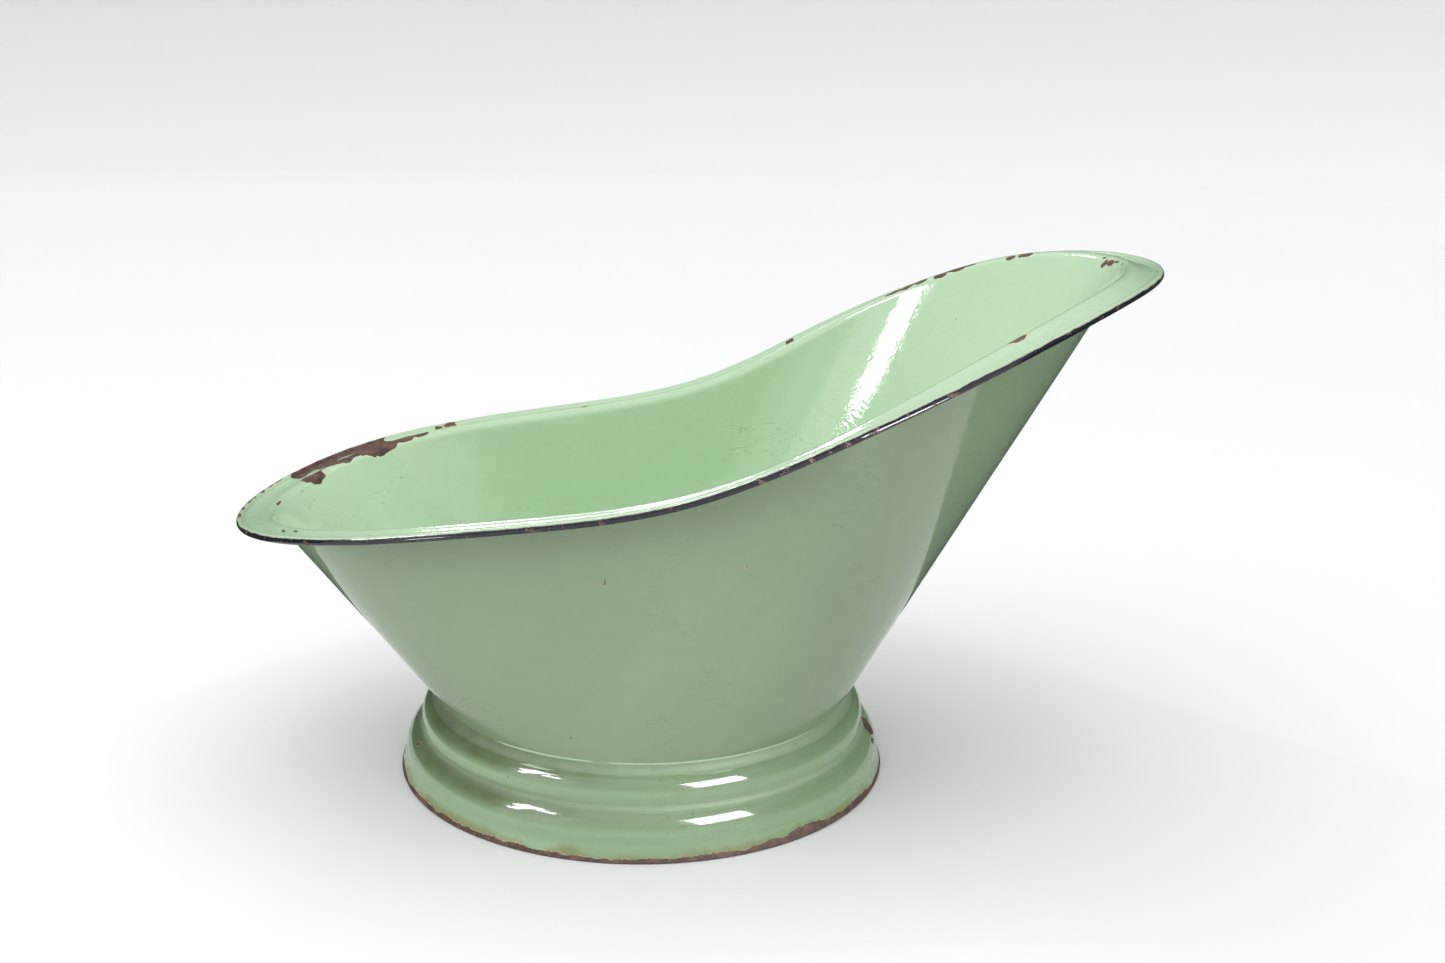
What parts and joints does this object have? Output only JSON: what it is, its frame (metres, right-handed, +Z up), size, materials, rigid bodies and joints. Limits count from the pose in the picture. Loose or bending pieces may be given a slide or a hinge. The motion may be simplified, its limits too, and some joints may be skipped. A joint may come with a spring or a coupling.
{
  "type": "hip bath",
  "caption": "Free-standing enamelled sheet-steel hip bath: a flared oval tub with a low front, a high sloping back and a rolled rim, on a round stepped foot.",
  "frame": {"origin": "centre of the round foot, on the floor plane it stands on", "axes": "+Z up, +X along the bath's length towards its high back, +Y to the side; the bath is symmetric about the XZ plane"},
  "size_m": [0.7918, 0.5106, 0.4628],
  "materials": {
    "tub_enamel": "glossy pale green vitreous enamel, near-black enamel on the rolled edge, chips rusted to brown steel",
    "foot_enamel": "glossy pale green vitreous enamel, rusted along its lower edge",
    "wire_steel": "plain steel wire, enclosed in the rolled edge"
  },
  "bodies": {
    "root": {"tub_wall": "tub_enamel", "tub_bottom": "tub_enamel", "rim_wire": "wire_steel", "foot_ring": "foot_enamel"}
  },
  "joints": []
}
